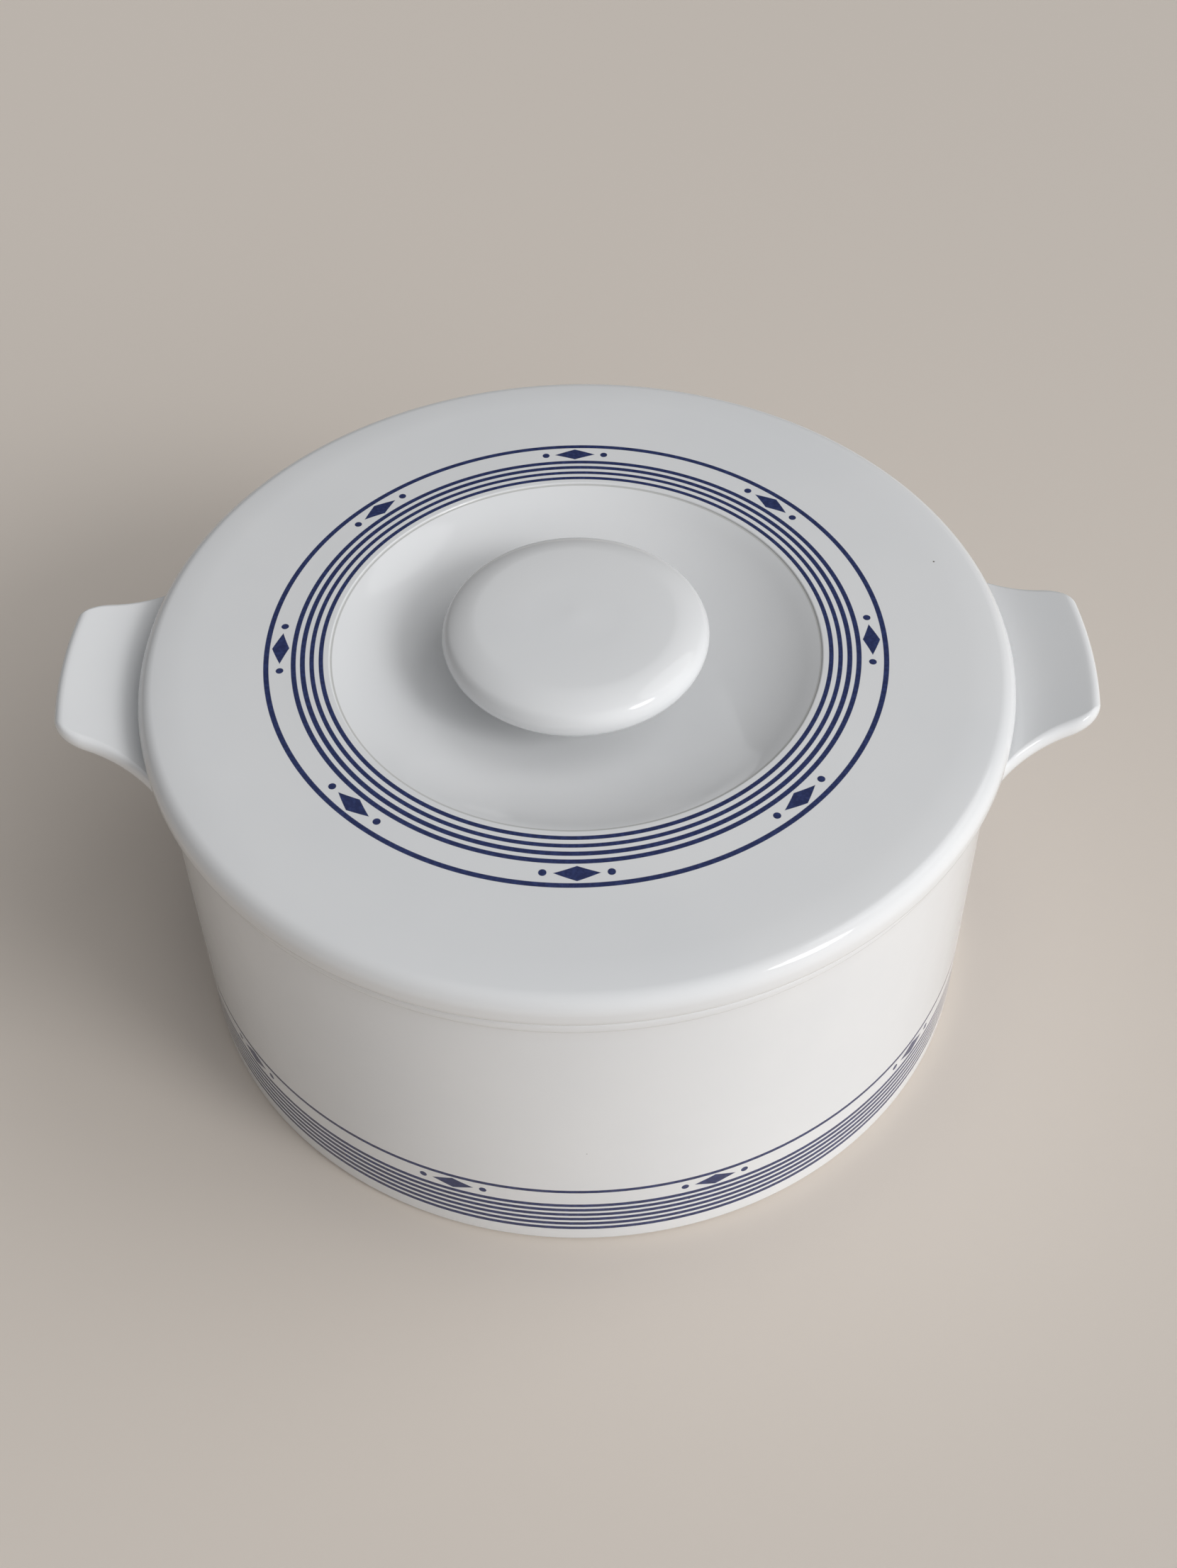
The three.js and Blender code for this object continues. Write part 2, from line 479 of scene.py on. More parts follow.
@dataclass(frozen=True)
class MotifRow:
    """A row of printed lozenges and dots between two lines.

    The lane is where its middle lies among the lines, and the arc is its distance from the axis.
    """

    lane: float
    arc: float
    count: int
    reach: float = 5.4
    breadth: float = 2.15
    dot: float = 0.95
    apart: float = 7.8


@dataclass(frozen=True)
class PrintedDecor:
    """Printed lines and motifs on one side of a wall.

    They are counted along the run, and the guard is a span of the other measure, which keeps them off
    the wall's other side.
    """

    run: Run
    rings: tuple[RingSet, ...]
    motifs: MotifRow
    guard: Span
    edge: float = 0.09
    guard_edge: float = 0.1

    def holds(self, radius: float, height: float) -> bool:
        """Tells whether a spot lies among the printed lines.

        Args:
            radius: its distance from the axis.
            height: its height.

        Returns:
            Whether it does.
        """
        along, across = (radius, height) if self.run is Run.RADIUS else (height, radius)
        first = min(ring.first - ring.width for ring in self.rings)
        last = max(ring.first + ring.pitch * (ring.count - 1) + ring.width for ring in self.rings)
        return first < along < last and self.guard[0] < across < self.guard[1]

    def mask(self, wiring: Wiring, place: bpy.types.NodeOutputs) -> bpy.types.NodeSocket:
        """Draws where the print lies.

        Args:
            wiring: helper on the material's tree.
            place: outputs of the polar place.

        Returns:
            The print's mask.
        """
        distance = place[self.run.value]
        other = Run.HEIGHT if self.run is Run.RADIUS else Run.RADIUS
        masks = [
            wiring.effect(
                PrintedRings,
                Distance=distance,
                First=ring.first,
                Pitch=ring.pitch,
                Count=float(ring.count),
                Width=ring.width,
                Edge=self.edge,
            )["Mask"]
            for ring in self.rings
        ]
        row = self.motifs
        motif = wiring.effect(
            PrintedMotif,
            Angle=place["Angle"],
            Arc=row.arc,
            Across=wiring.math("SUBTRACT", distance, row.lane),
            Count=float(row.count),
            Reach=row.reach,
            Breadth=row.breadth,
            Dot=row.dot,
            Apart=row.apart,
            Edge=self.edge,
        )
        masks.append(motif["Mask"])
        low, high = self.guard
        guard = wiring.effect(Zone, Value=place[other.value], Low=low, High=high, Edge=self.guard_edge)
        return wiring.math("MULTIPLY", wiring.most(masks), guard["Mask"])


@dataclass(frozen=True)
class Band:
    """A ring of the surface between two radii and two heights."""

    radii: Span
    heights: Span
    edge: float = 0.3

    def mask(self, wiring: Wiring, place: bpy.types.NodeOutputs) -> bpy.types.NodeSocket:
        """Draws where the band lies.

        Args:
            wiring: helper on the material's tree.
            place: outputs of the polar place.

        Returns:
            The band's mask.
        """
        spans = {"Radius": self.radii, "Height": self.heights}
        across, up = (
            wiring.effect(Zone, Value=place[name], Low=low, High=high, Edge=self.edge)["Mask"]
            for name, (low, high) in spans.items()
        )
        return wiring.math("MULTIPLY", across, up)


@dataclass(frozen=True)
class Porcelain:
    """White glazed porcelain with printed decor, and with bare lands where pieces touch."""

    name: str
    slot: Slot
    decor: PrintedDecor
    bare: tuple[Band, ...]
    # Bands where shade is painted into the colour as a grey line.
    shaded_creases: tuple[Band, ...]
    white: Colour = (0.835, 0.84, 0.845)
    shade: Colour = (0.80, 0.81, 0.82)
    # Painted shade: the darker grey that is laid along the well's crease.
    crease_shade: Colour = (0.60, 0.60, 0.59)
    speck: Colour = (0.10, 0.075, 0.06)
    ink: Colour = (0.014, 0.024, 0.10)
    thin_ink: Colour = (0.026, 0.043, 0.155)
    biscuit: Colour = (0.70, 0.66, 0.60)
    gloss: Span = (0.06, 0.11)
    biscuit_roughness: float = 0.82
    cloud_scale: float = 16.0
    ripple_scale: float = 210.0
    grain_scale: float = 900.0
    relief: float = 0.35
    relief_depth: float = 0.04

    def material(self) -> bpy.types.Material:
        """Builds the finish once.

        Returns:
            The finish's material.
        """
        known = bpy.data.materials.get(self.name)
        if known:
            return known
        material = bpy.data.materials.new(self.name)
        material.use_nodes = True
        wiring = Wiring(material.node_tree)
        shader = material.node_tree.nodes["Principled BSDF"]
        position = wiring.add("ShaderNodeTexCoord").outputs["Object"]
        place = wiring.effect(PolarPlace, Position=position)
        skin = wiring.effect(
            GlazeSkin, Position=position, Clouds=self.cloud_scale, Ripples=self.ripple_scale
        )
        grain = wiring.effect(InkDensity, Position=position, Grain=self.grain_scale)["Density"]
        bare = wiring.most([band.mask(wiring, place) for band in self.bare])
        self.colour(wiring, shader, place, skin, grain, bare)
        self.surface(wiring, shader, skin, grain, bare)
        return material

    def colour(
        self,
        wiring: Wiring,
        shader: bpy.types.Node,
        place: bpy.types.NodeOutputs,
        skin: bpy.types.NodeOutputs,
        grain: Source,
        bare: Source,
    ) -> None:
        """Lays clouding, painted shade in the crease, specks, print and bare lands over each other.

        Args:
            wiring: helper on the material's tree.
            shader: the material's shader.
            place: outputs of the polar place.
            skin: outputs of the glaze skin.
            grain: how thick the print lies.
            bare: mask of the bare lands.
        """
        # Painted shade: the glaze is greyed along the well's crease, where shade falls in its small
        # step.
        shaded_creases = wiring.most([band.mask(wiring, place) for band in self.shaded_creases])
        glaze = wiring.blend_colours(skin["Cloud"], self.white, self.shade)
        glaze = wiring.blend_colours(shaded_creases, glaze, self.crease_shade)
        glaze = wiring.blend_colours(skin["Speck"], glaze, self.speck)
        ink = wiring.blend_colours(grain, self.thin_ink, self.ink)
        printed = wiring.blend_colours(self.decor.mask(wiring, place), glaze, ink)
        wiring.feed(shader.inputs["Base Color"], wiring.blend_colours(bare, printed, self.biscuit))

    def surface(
        self,
        wiring: Wiring,
        shader: bpy.types.Node,
        skin: bpy.types.NodeOutputs,
        grain: Source,
        bare: Source,
    ) -> None:
        """Sets gloss and relief.

        Args:
            wiring: helper on the material's tree.
            shader: the material's shader.
            skin: outputs of the glaze skin.
            grain: fine noise for the bare lands.
            bare: mask of the bare lands.
        """
        gloss = wiring.blend_values(skin["Cloud"], *self.gloss)
        wiring.feed(shader.inputs["Roughness"], wiring.blend_values(bare, gloss, self.biscuit_roughness))
        bump = wiring.add("ShaderNodeBump")
        bump.inputs["Strength"].default_value = self.relief
        bump.inputs["Distance"].default_value = self.relief_depth * MM
        wiring.feed(bump.inputs["Height"], wiring.blend_values(bare, skin["Ripple"], grain))
        wiring.feed(shader.inputs["Normal"], bump.outputs["Normal"])


@dataclass(frozen=True)
class Corner:
    """A corner of a turned outline. Its rounding starts at a reach along both sides."""

    radius: float
    height: float
    reach: float = 0.0
    segments: int = 8


@dataclass
class Piece:
    """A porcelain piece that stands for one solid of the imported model."""

    name: str
    node: str
    body: Body
    finish: Porcelain

    def shape(self) -> bmesh.types.BMesh:
        """Models the piece in metres, in its place."""
        raise NotImplementedError

    def build(self) -> bpy.types.Object:
        """Models the piece, dresses it and ties it to its body.

        Returns:
            The finished piece.
        """
        form = self.shape()
        mesh = bpy.data.meshes.new(self.name)
        form.to_mesh(mesh)
        form.free()
        mesh.shade_smooth()
        mesh.materials.append(self.finish.material())
        piece = bpy.data.objects.new(self.name, mesh)
        bpy.context.scene.collection.objects.link(piece)
        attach(piece, self.body.value)
        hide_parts(self.node)
        LOG.info("%s: %d faces, for %s", self.name, len(mesh.polygons), self.node)
        return piece


@dataclass
class TurnedPiece(Piece):
    """A piece turned about the bowl's axis from an outline of radius and height."""

    turn_steps: int = 192
    longest_side: float = 4.0
    fine_print: float = 3.0

    def corners(self) -> list[Corner]:
        """Gives the outline from axis to axis."""
        raise NotImplementedError

    def measure(self, form: bmesh.types.BMesh, runs: bmesh.types.BMLayerItem) -> None:
        """Notes how far along the outline each spot lies, where printed sides count more.

        Args:
            form: the outline.
            runs: the layer that takes the distances, from 0 to 1.
        """
        order = [next(spot for spot in form.verts if len(spot.link_edges) == 1)]
        sides: list[bmesh.types.BMEdge] = []
        while ahead := [side for side in order[-1].link_edges if side not in sides[-1:]]:
            sides.append(ahead[0])
            order.append(ahead[0].other_vert(order[-1]))
        run = 0.0
        for spot, side in zip(order[1:], sides):
            middle = (side.verts[0].co + side.verts[1].co) / (2.0 * MM)
            printed = self.finish.decor.holds(middle.x, middle.z)
            run += side.calc_length() * (self.fine_print if printed else 1.0)
            spot[runs] = run
        for spot in order:
            spot[runs] /= run

    def lay_map(self, form: bmesh.types.BMesh, runs: bmesh.types.BMLayerItem) -> None:
        """Lays the surface out flat, with the turn across and the outline up.

        Args:
            form: the closed shape.
            runs: the layer that holds each spot's distance along the outline.
        """
        laid = form.loops.layers.uv.new(BAKE_MAP)
        for face in form.faces:
            middle = face.calc_center_median()
            facing = math.atan2(middle.y, middle.x) % FULL_TURN
            for loop in face.loops:
                spot = loop.vert.co
                turn = facing
                if spot.xy.length > MERGE:
                    turn += math.remainder(math.atan2(spot.y, spot.x) - facing, FULL_TURN)
                loop[laid].uv = (turn / FULL_TURN, loop.vert[runs])

    def shape(self) -> bmesh.types.BMesh:
        """Rounds the outline's corners, spins it and lays its map.

        Returns:
            The closed shape.
        """
        form = bmesh.new()
        runs = form.verts.layers.float.new("run")
        corners = self.corners()
        spots = [form.verts.new((corner.radius * MM, 0.0, corner.height * MM)) for corner in corners]
        for spot, following in zip(spots, spots[1:]):
            form.edges.new((spot, following))
        for spot, corner in zip(spots, corners):
            if corner.reach:
                bmesh.ops.bevel(
                    form,
                    geom=[spot],
                    offset=corner.reach * MM,
                    offset_type="OFFSET",
                    segments=corner.segments,
                    profile=0.5,
                    affect="VERTICES",
                    material=-1,
                )
        for side in form.edges[:]:
            cuts = int(side.calc_length() / (self.longest_side * MM))
            if cuts:
                bmesh.ops.subdivide_edges(form, edges=[side], cuts=cuts)
        self.measure(form, runs)
        bmesh.ops.spin(
            form,
            geom=form.verts[:] + form.edges[:],
            cent=(0.0, 0.0, 0.0),
            axis=(0.0, 0.0, 1.0),
            dvec=(0.0, 0.0, 0.0),
            angle=FULL_TURN,
            space=Matrix.Identity(4),
            steps=self.turn_steps,
            use_merge=True,
            use_normal_flip=False,
            use_duplicate=False,
        )
        bmesh.ops.remove_doubles(form, verts=form.verts[:], dist=MERGE)
        bmesh.ops.recalc_face_normals(form, faces=form.faces[:])
        self.lay_map(form, runs)
        return form


@dataclass
class Bowl(TurnedPiece):
    """Straight-sided bowl with a foot ring and a beaded lip."""

    lip_reach: float = 1.25
    lip_height: float = 3.9
    lip_slope: float = 0.6
    lip_round: float = 0.8
    rim_round: float = 1.5
    mouth_round: float = 1.6
    wall: float = 5.0
    floor: float = 6.0
    floor_round: float = 18.0
    heel_round: float = 1.8
    foot_width: float = 11.0
    foot_depth: float = 2.5
    foot_round: float = 1.0
    base_round: float = 1.2

    def corners(self) -> list[Corner]:
        """Follows the underside, the wall, the lip and the inside.

        Returns:
            The outline's corners.
        """
        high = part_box(self.node)[1] / MM
        lip = high.x
        outside = lip - self.lip_reach
        inside = outside - self.wall
        foot = outside - self.foot_width
        floor_top = self.foot_depth + self.floor
        lip_foot = high.z - self.lip_height
        return [
            Corner(0.0, self.foot_depth),
            Corner(foot - self.foot_depth, self.foot_depth, self.base_round),
            Corner(foot, 0.0, self.foot_round),
            Corner(outside, 0.0, self.heel_round),
            Corner(outside, lip_foot - self.lip_slope, self.lip_round, segments=6),
            Corner(lip, lip_foot + self.lip_slope, self.lip_round, segments=6),
            Corner(lip, high.z, self.rim_round),
            Corner(inside, high.z, self.mouth_round),
            Corner(inside, floor_top, self.floor_round, segments=20),
            Corner(0.0, floor_top),
        ]


@dataclass
class LugHandle(Piece):
    """A rising lug that flares into the bowl's lip and ends in a round-cornered tip."""

    side: Side
    tip: float
    lip: float = 106.25
    wall: float = 105.0
    tip_width: float = 47.8
    root_width: float = 86.8
    tip_corner: float = 6.8
    root_thickness: float = 5.4
    tip_thickness: float = 5.0
    root_middle: float = 93.9
    rise: float = 6.8
    rise_power: float = 0.75
    sunk: float = 2.5
    root_end: float = 0.5
    root_dip: float = 0.25
    fillet: float = 5.5
    fillet_power: int = 4
    section_segments: int = 24
    flat_cuts: int = 47
    fillet_steps: int = 6
    flare_steps: int = 16
    corner_steps: int = 6
    tip_steps: int = 6

    @classmethod
    def on(cls, side: Side, name: str, node: str, finish: Porcelain) -> "LugHandle":
        """Sizes a lug by its solid.

        Args:
            side: which side of the bowl it is on.
            name: the piece's name.
            node: the solid that it stands for.
            finish: its finish.

        Returns:
            The lug.
        """
        low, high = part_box(node)
        return cls(name, node, Body.TUREEN, finish, side, max(high.x, -low.x) / MM)

    def half_width(self, radius: float) -> float:
        """Gives half the lug's width.

        Args:
            radius: distance from the bowl's axis.

        Returns:
            Half the width along the arc of that radius.
        """
        inward = min(1.0, (self.tip - radius) / (self.tip - self.lip))
        flare = 0.5 * (self.root_width - self.tip_width) * (1.0 - math.sqrt(1.0 - inward**2))
        past = max(0.0, radius - self.tip + self.tip_corner)
        inset = self.tip_corner - math.sqrt(max(0.0, self.tip_corner**2 - past**2))
        return 0.5 * self.tip_width + flare - inset

    def middle(self, radius: float) -> float:
        """Gives the height of the lug's middle, which rises faster near the lip.

        Args:
            radius: distance from the bowl's axis.

        Returns:
            The height.
        """
        outward = max(0.0, (radius - self.lip) / (self.tip - self.lip))
        return self.root_middle + self.rise * outward**self.rise_power

    def stations(self) -> list[tuple[float, float]]:
        """Gives the sections along the lug.

        Returns:
            Pairs of distance from the axis and half thickness, from a line inside the wall to the tip.
        """
        tip = self.tip
        half_root = 0.5 * self.root_thickness
        half_tip = 0.5 * self.tip_thickness
        blade_end = tip - half_tip
        corner_start = tip - self.tip_corner
        last = math.asin((tip - corner_start) / (tip - self.lip))
        radii = [self.lip - self.sunk]
        for step in range(self.fillet_steps):
            radii.append(self.wall + (self.lip - self.wall) * (step / self.fillet_steps) ** 2)
        for step in range(self.flare_steps + 1):
            angle = math.pi / 2 + (last - math.pi / 2) * step / self.flare_steps
            radii.append(tip - (tip - self.lip) * math.sin(angle))
        for step in range(1, self.corner_steps + 1):
            radii.append(corner_start + (blade_end - corner_start) * step / self.corner_steps)
        found = [(radii[0] - self.root_end, 0.0)]
        for radius in radii:
            outward = max(0.0, (radius - self.lip) / (blade_end - self.lip))
            inward = max(0.0, (self.lip - radius) / self.sunk)
            found.append((radius, half_root + (half_tip - half_root) * outward - self.root_dip * inward))
        for step in range(1, self.tip_steps + 1):
            angle = 0.5 * math.pi * step / self.tip_steps
            found.append((blade_end + half_tip * math.sin(angle), half_tip * math.cos(angle)))
        return found

    def place(self, spot: Vector, radius: float, half: float) -> Vector:
        """Moves a point of the section's pattern into the lug.

        Args:
            spot: the point, where x beyond 1 is the round side and y is up.
            radius: distance of the section from the bowl's axis.
            half: half the thickness there.

        Returns:
            The point's place in metres.
        """
        flat = min(1.0, max(-1.0, spot.x))
        along = flat * (self.half_width(radius) - half) + half * (spot.x - flat)
        angle = along / radius + self.side.value
        start = self.wall + self.fillet
        inward = min(1.0, max(0.0, (start - radius) / self.fillet))
        underneath = max(0.0, -spot.y) * (1.0 - flat**self.fillet_power)
        drop = self.fillet * (1.0 - math.sqrt(1.0 - inward**2)) * underneath
        fullness = 2.0 * half / self.root_thickness
        height = self.middle(radius) + half * spot.y - drop * fullness
        return Vector((radius * math.cos(angle), radius * math.sin(angle), height)) * MM

    def pattern(self, form: bmesh.types.BMesh) -> list[bmesh.types.BMEdge]:
        """Draws the section: a circle whose halves are moved apart, with cuts along its flats.

        Args:
            form: the mesh that takes it.

        Returns:
            The section's edges.
        """
        half_step = math.pi / self.section_segments
        bmesh.ops.create_circle(
            form,
            segments=self.section_segments,
            radius=1.0,
            matrix=Matrix.Rotation(half_step, 4, "Z"),
        )
        bmesh.ops.scale(form, vec=(1.0, 1.0 / math.cos(half_step), 1.0), verts=form.verts[:])
        for spot in form.verts:
            spot.co.x += math.copysign(1.0, spot.co.x)
        flats = [edge for edge in form.edges if edge.verts[0].co.x * edge.verts[1].co.x < 0.0]
        bmesh.ops.subdivide_edges(form, edges=flats, cuts=self.flat_cuts)
        return form.edges[:]

    def shape(self) -> bmesh.types.BMesh:
        """Extrudes the section from station to station.

        Returns:
            The closed shape.
        """
        form = bmesh.new()
        kept = form.verts.layers.float_vector.new("section")
        ring = self.pattern(form)
        for spot in form.verts:
            spot[kept] = spot.co
        root, *others = self.stations()
        for spot in form.verts:
            spot.co = self.place(spot[kept], *root)
        for station in others:
            made = bmesh.ops.extrude_edge_only(form, edges=ring)["geom"]
            spots = {item for item in made if isinstance(item, bmesh.types.BMVert)}
            sides = [item for item in made if isinstance(item, bmesh.types.BMEdge)]
            ring = [side for side in sides if spots.issuperset(side.verts)]
            for spot in spots:
                spot.co = self.place(spot[kept], *station)
        bmesh.ops.remove_doubles(form, verts=form.verts[:], dist=MERGE)
        bmesh.ops.recalc_face_normals(form, faces=form.faces[:])
        return form


@dataclass
class Lid(TurnedPiece):
    """Lid with a dished well, a flat ring, a round edge and a flange that sits inside the bowl."""

    thickness: float = 5.0
    edge_fall: float = 0.9
    edge_round: float = 3.9
    edge_under_round: float = 3.5
    shoulder: float = 8.0
    shoulder_rise: float = 0.1
    shoulder_round: float = 4.0
    ring_fall: float = 1.2
    crease: float = 60.4
    crease_step: float = 0.45
    brow: float = 0.5
    brow_round: float = 0.25
    groove_outside: float = 0.25
    groove_inside: float = 0.1
    groove_round: float = 0.1
    well_depth: float = 12.0
    well_bend: float = 37.8
    well_reach: float = 21.5
    under_reach: float = 18.5
    under_round: float = 2.5
    flange_outside: float = 98.8
    flange_wall: float = 4.5
    flange_depth: float = 7.0
    flange_round: float = 1.6
    flange_fillet: float = 3.0
    seat_fillet: float = 0.8

    def corners(self) -> list[Corner]:
        """Follows the underside, the flange, the edge, the ring and the well.

        Returns:
            The outline's corners.
        """
        low, high = (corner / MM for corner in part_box(self.node))
        edge = high.x
        seat = low.z + self.flange_depth
        edge_top = high.z - self.ring_fall
        shoulder_top = edge_top + self.shoulder_rise
        groove = high.z - self.crease_step
        well_floor = high.z - self.well_depth
        flange_inside = self.flange_outside - self.flange_wall
        return [
            Corner(0.0, well_floor - self.thickness),
            Corner(self.well_bend, well_floor - self.thickness, self.under_reach, segments=24),
            Corner(self.crease, high.z - self.thickness, self.under_round),
            Corner(flange_inside, edge_top - self.thickness, self.flange_fillet),
            Corner(flange_inside, low.z, self.flange_round),
            Corner(self.flange_outside, low.z, self.flange_round),
            Corner(self.flange_outside, seat, self.seat_fillet, segments=4),
            Corner(edge, seat, self.edge_under_round, segments=10),
            Corner(edge, edge_top - self.edge_fall, self.edge_round, segments=12),
            Corner(edge - self.shoulder, shoulder_top, self.shoulder_round, segments=10),
            Corner(self.crease + self.brow, high.z, self.brow_round, segments=4),
            Corner(self.crease + self.groove_outside, groove, self.groove_round, segments=2),
            Corner(self.crease - self.groove_inside, groove, self.groove_round, segments=2),
            Corner(self.well_bend, well_floor, self.well_reach, segments=28),
            Corner(0.0, well_floor),
        ]


@dataclass
class Knob(TurnedPiece):
    """Mushroom knob on a stem that runs into the lid's well."""

    turn_steps: int = 144
    longest_side: float = 2.5
    cap_height: float = 10.6
    cap_round: float = 5.2
    side_fall: float = 2.9
    side_round: float = 2.4
    shoulder: float = 5.3
    shoulder_round: float = 3.4
    crown: float = 1.0
    crown_share: float = 0.55
    crown_round: float = 7.4
    mound: float = 0.24
    mound_radius: float = 7.0
    mound_round: float = 3.4
    stem: float = 12.0
    stem_fillet: float = 5.0
    neck_fillet: float = 4.0
    skirt: float = 0.2
    sunk: float = 0.35

    def corners(self) -> list[Corner]:
        """Follows the stem, the cap's underside and its crown.

        Returns:
            The outline's corners.
        """
        low, high = (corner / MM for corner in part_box(self.node))
        cap = high.x
        cap_top = high.z - self.crown
        cap_foot = cap_top - self.cap_height
        mound_foot = high.z - self.mound
        foot = low.z - self.sunk
        skirt = self.stem + self.stem_fillet + self.skirt
        return [
            Corner(0.0, foot - self.skirt),
            Corner(skirt, foot - self.skirt),
            Corner(skirt, foot),
            Corner(self.stem, foot, self.stem_fillet, segments=10),
            Corner(self.stem, cap_foot, self.neck_fillet, segments=10),
            Corner(cap, cap_foot, self.cap_round, segments=12),
            Corner(cap, cap_top - self.side_fall, self.side_round, segments=12),
            Corner(cap - self.shoulder, cap_top, self.shoulder_round, segments=12),
            Corner(self.crown_share * cap, mound_foot, self.crown_round, segments=12),
            Corner(self.mound_radius, mound_foot, self.mound_round, segments=10),
            Corner(0.0, high.z),
        ]


@dataclass(frozen=True)
class Floor:
    """Plain pale floor under the tureen."""

    half_size: float = 20000.0
    colour: Colour = (0.75, 0.68, 0.61)
    roughness: float = 0.65

    def build(self) -> bpy.types.Object:
        """Lays the floor.

        Returns:
            The floor, which isn't part of the tureen.
        """
        form = bmesh.new()
        bmesh.ops.create_grid(form, x_segments=1, y_segments=1, size=self.half_size * MM)
        mesh = bpy.data.meshes.new("floor")
        form.to_mesh(mesh)
        form.free()
        material = bpy.data.materials.new("pale_floor")
        material.use_nodes = True
        shader = material.node_tree.nodes["Principled BSDF"]
        shader.inputs["Base Color"].default_value = (*self.colour, 1.0)
        shader.inputs["Roughness"].default_value = self.roughness
        mesh.materials.append(material)
        floor = bpy.data.objects.new("floor", mesh)
        bpy.context.scene.collection.objects.link(floor)
        return floor


def towards(turn: float, height: float) -> Vector:
    """Gives a direction.

    Args:
        turn: degrees round the bowl's axis from the right handle.
        height: degrees above the floor.

    Returns:
        A vector of length 1.
    """
    round_axis, above = math.radians(turn), math.radians(height)
    level = math.cos(above)
    return Vector((level * math.cos(round_axis), level * math.sin(round_axis), math.sin(above)))


@dataclass(frozen=True)
class WindowLight:
    """Soft light from far away.

    Its angles are in degrees, and its strength is in watts on each square metre that faces it.
    """

    name: str
    turn: float
    height: float
    spread: float
    strength: float

    def build(self) -> bpy.types.Object:
        """Hangs the lamp.

        Returns:
            The lamp.
        """
        lamp = bpy.data.lights.new(self.name, "SUN")
        lamp.angle = math.radians(self.spread)
        lamp.energy = self.strength
        holder = bpy.data.objects.new(self.name, lamp)
        holder.rotation_euler = towards(self.turn, self.height).to_track_quat("Z", "Y").to_euler()
        bpy.context.scene.collection.objects.link(holder)
        return holder


@dataclass(frozen=True)
class Glow:
    """Soft light from one side of the surroundings, which fades away from its middle."""

    turn: float
    height: float
    fade: float
    strength: float

    def light(self, wiring: Wiring, facing: bpy.types.NodeSocket) -> bpy.types.NodeSocket:
        """Draws the glow.

        Args:
            wiring: helper on the world's tree.
            facing: the direction that is looked in.

        Returns:
            The glow's strength in that direction.
        """
        nearness = wiring.add("ShaderNodeVectorMath", operation="DOT_PRODUCT")
        wiring.feed(nearness.inputs[0], facing)
        wiring.feed(nearness.inputs[1], tuple(towards(self.turn, self.height)))
        ahead = wiring.math("MAXIMUM", nearness.outputs["Value"], 0.0)
        return wiring.math("MULTIPLY", wiring.math("POWER", ahead, self.fade), self.strength)


@dataclass(frozen=True)
class Surroundings:
    """Dim light from all round with glows in it, seen as a plain pale backdrop.

    The glaze mirrors it up to a set strength, and the camera is shown an even one.
    """

    glows: tuple[Glow, ...]
    light: Colour = (0.985, 0.99, 1.0)
    strength: float = 0.05
    mirrored: float = 0.8
    shown: float = 0.62

    def build(self) -> bpy.types.World:
        """Sets the scene's world.

        Returns:
            The world.
        """
        world = bpy.data.worlds.new("surroundings")
        world.use_nodes = True
        wiring = Wiring(world.node_tree)
        background = world.node_tree.nodes["Background"]
        facing = wiring.add("ShaderNodeTexCoord").outputs["Generated"]
        strength: Source = self.strength
        for glow in self.glows:
            strength = wiring.math("ADD", strength, glow.light(wiring, facing))
        paths = wiring.add("ShaderNodeLightPath").outputs
        mirrored = wiring.math("MINIMUM", strength, self.mirrored)
        strength = wiring.blend_values(paths["Is Glossy Ray"], strength, mirrored)
        strength = wiring.blend_values(paths["Is Camera Ray"], strength, self.shown)
        wiring.feed(background.inputs["Color"], self.light)
        wiring.feed(background.inputs["Strength"], strength)
        bpy.context.scene.world = world
        return world


@dataclass(frozen=True)
class PhotoCamera:
    """Camera at the photograph's place. Its focal length is in pixels of the picture's long side."""

    focal: float = 2900.0
    long_side: float = 2212.0
    sensor: float = 36.0
    place: Place = (5.33, -363.22, 465.1)
    pitch: float = 48.441
    pan: float = -0.463
    roll: float = -1.21
    nearest: float = 10.0

    def build(self) -> bpy.types.Object:
        """Sets up the scene's camera.

        Returns:
            The camera.
        """
        data = bpy.data.cameras.new("photo_camera")
        data.sensor_width = self.sensor
        data.lens = self.sensor * self.focal / self.long_side
        data.clip_start = self.nearest * MM
        camera = bpy.data.objects.new("photo_camera", data)
        turns = (
            Matrix.Rotation(math.radians(-self.pan), 4, "Z")
            @ Matrix.Rotation(math.radians(90.0 - self.pitch), 4, "X")
            @ Matrix.Rotation(math.radians(self.roll), 4, "Z")
        )
        camera.matrix_world = Matrix.Translation(Vector(self.place) * MM) @ turns
        bpy.context.scene.collection.objects.link(camera)
        bpy.context.scene.camera = camera
        return camera


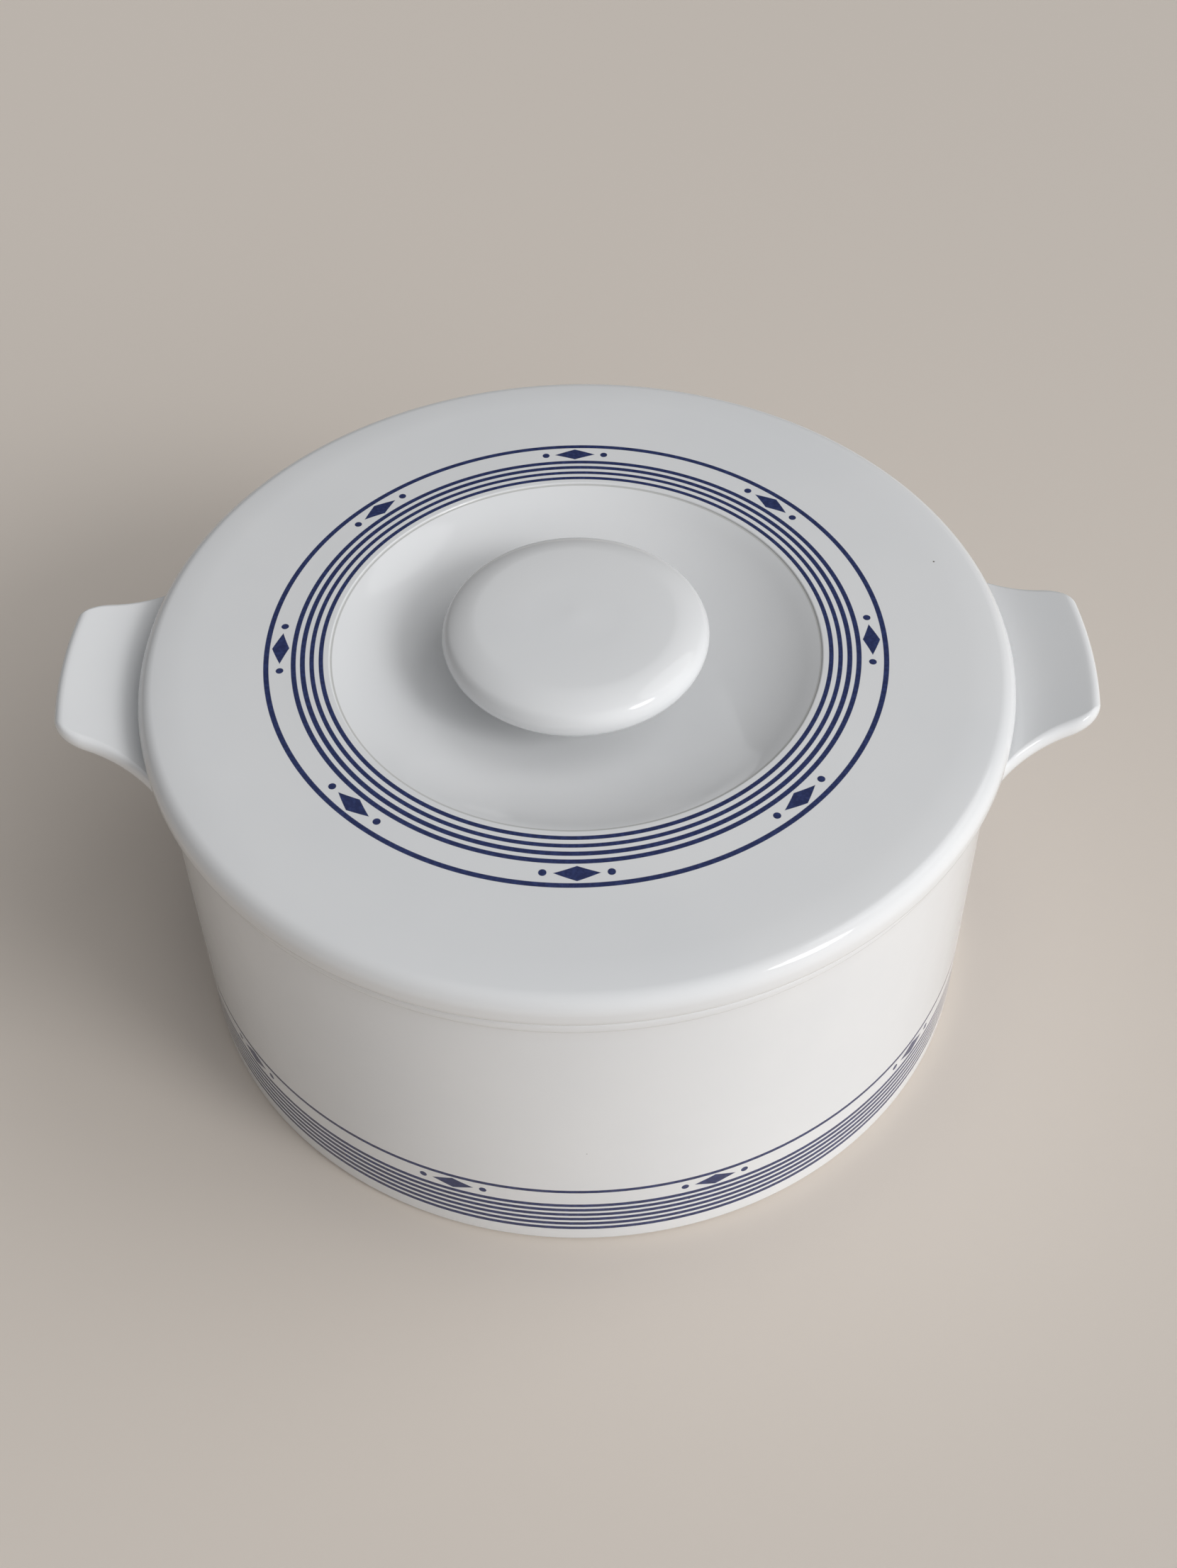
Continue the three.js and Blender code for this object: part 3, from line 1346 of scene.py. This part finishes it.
BOWL_DECOR = PrintedDecor(
    run=Run.HEIGHT,
    rings=(
        RingSet(first=23.75, width=1.2),
        RingSet(first=6.4, width=1.3, count=6, pitch=2.16),
    ),
    motifs=MotifRow(lane=20.5, arc=105.0, count=10),
    guard=(103.0, 120.0),
)
LID_DECOR = PrintedDecor(
    run=Run.RADIUS,
    rings=(
        RingSet(first=76.4, width=1.32),
        RingSet(first=67.42, width=1.25, count=2, pitch=2.26),
        RingSet(first=62.9, width=1.12, count=2, pitch=2.26),
    ),
    motifs=MotifRow(lane=73.05, arc=73.05, count=8),
    guard=(104.5, 112.0),
)
BOWL_FINISH = Porcelain(
    name="bowl_porcelain",
    slot=Slot.BOWL,
    decor=BOWL_DECOR,
    bare=(
        Band(radii=(94.6, 102.8), heights=(-1.0, 0.2)),
        Band(radii=(101.0, 103.6), heights=(96.2, 97.0)),
    ),
    shaded_creases=(),
)
LID_FINISH = Porcelain(
    name="lid_porcelain",
    slot=Slot.LID,
    decor=LID_DECOR,
    bare=(Band(radii=(99.6, 103.4), heights=(96.5, 97.0)),),
    # Painted shade: a grey line along the well's crease, from radius 60.3 to 60.68.
    shaded_creases=(Band(radii=(60.3, 60.68), heights=(106.0, 109.0), edge=0.15),),
)


def main() -> None:
    """Builds the tureen, floor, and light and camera."""
    logging.basicConfig(level=logging.INFO, format="%(name)s: %(message)s")
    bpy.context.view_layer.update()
    bpy.context.scene.view_settings.view_transform = "Standard"
    PhotoCamera().build()
    Bowl("bowl_body", "tureen_bowl", Body.TUREEN, BOWL_FINISH).build()
    LugHandle.on(Side.RIGHT, "right_lug", "right_handle", BOWL_FINISH).build()
    LugHandle.on(Side.LEFT, "left_lug", "left_handle", BOWL_FINISH).build()
    Lid("lid_body", "lid", Body.COVER, LID_FINISH).build()
    Knob("knob_body", "lid_knob", Body.COVER, LID_FINISH).build()
    Floor().build()
    overhead = Glow(turn=0.0, height=90.0, fade=2.0, strength=0.41)
    beside = Glow(turn=-36.0, height=12.0, fade=5.0, strength=2.8)
    Surroundings((overhead, beside)).build()
    WindowLight("window_side", turn=-35.0, height=33.0, spread=18.0, strength=0.62).build()
    WindowLight("window_high", turn=14.0, height=48.0, spread=38.0, strength=0.39).build()


if __name__ == "__main__":
    main()
